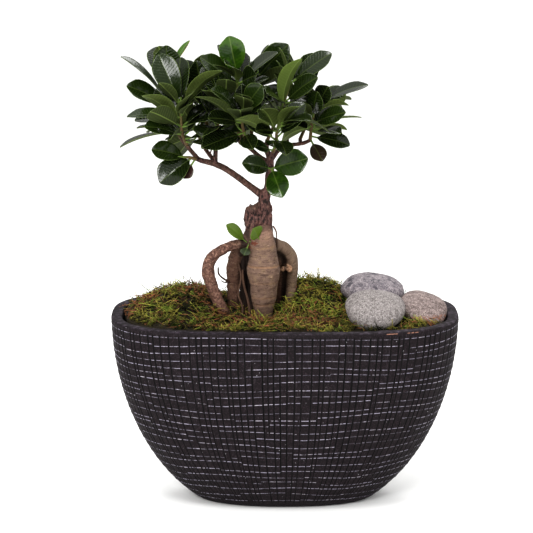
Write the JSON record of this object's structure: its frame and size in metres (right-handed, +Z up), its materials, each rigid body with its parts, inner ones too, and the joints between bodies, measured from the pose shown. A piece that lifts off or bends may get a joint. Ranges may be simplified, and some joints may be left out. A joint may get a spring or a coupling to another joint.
{
  "type": "ficus ginseng bonsai",
  "caption": "Grafted ficus bonsai on swollen standing roots, in an oval incised stoneware bowl with soil, moss and granite pebbles.",
  "frame": {"origin": "centre of the bowl's flat base, on the surface that it stands on", "axes": "+X along the bowl's length, to the pebbles; +Y to the back; +Z up"},
  "size_m": [0.321, 0.1883, 0.436],
  "materials": {
    "stoneware": "matt dark brown stoneware with incised lines",
    "soil": "moist potting soil",
    "moss": "loose feathery moss",
    "root_bark": "smooth grey-tan bark with fine rings",
    "branch_bark": "rough dark brown bark",
    "leaf": "glossy dark green leaf",
    "young_leaf": "soft bright green leaf",
    "granite": "speckled light grey pebble",
    "blue_granite": "blue-grey pebble with dark patches",
    "pink_granite": "brownish grey pebble"
  },
  "bodies": {
    "root": {"bowl": "stoneware", "soil": "soil", "moss_left": "moss", "moss_front": "moss", "moss_back": "moss", "moss_right": "moss", "stone_front": "granite", "stone_back": "blue_granite", "stone_right": "pink_granite", "rootstock": "root_bark", "scion_branches": "branch_bark", "shoot_front_left": "leaf", "shoot_far_left": "leaf", "shoot_low_left": "leaf", "shoot_left_middle": "leaf", "shoot_left_back": "leaf", "shoot_top": "leaf", "shoot_top_back": "leaf", "shoot_right_top": "leaf", "shoot_right": "leaf", "shoot_front_right": "leaf", "shoot_trunk": "leaf", "shoot_front_middle": "leaf", "shoot_right_back": "leaf", "shoot_far_back_left": "leaf", "shoot_back": "leaf", "shoot_far_right_back": "leaf", "graft_sprout": "young_leaf"}
  },
  "joints": []
}
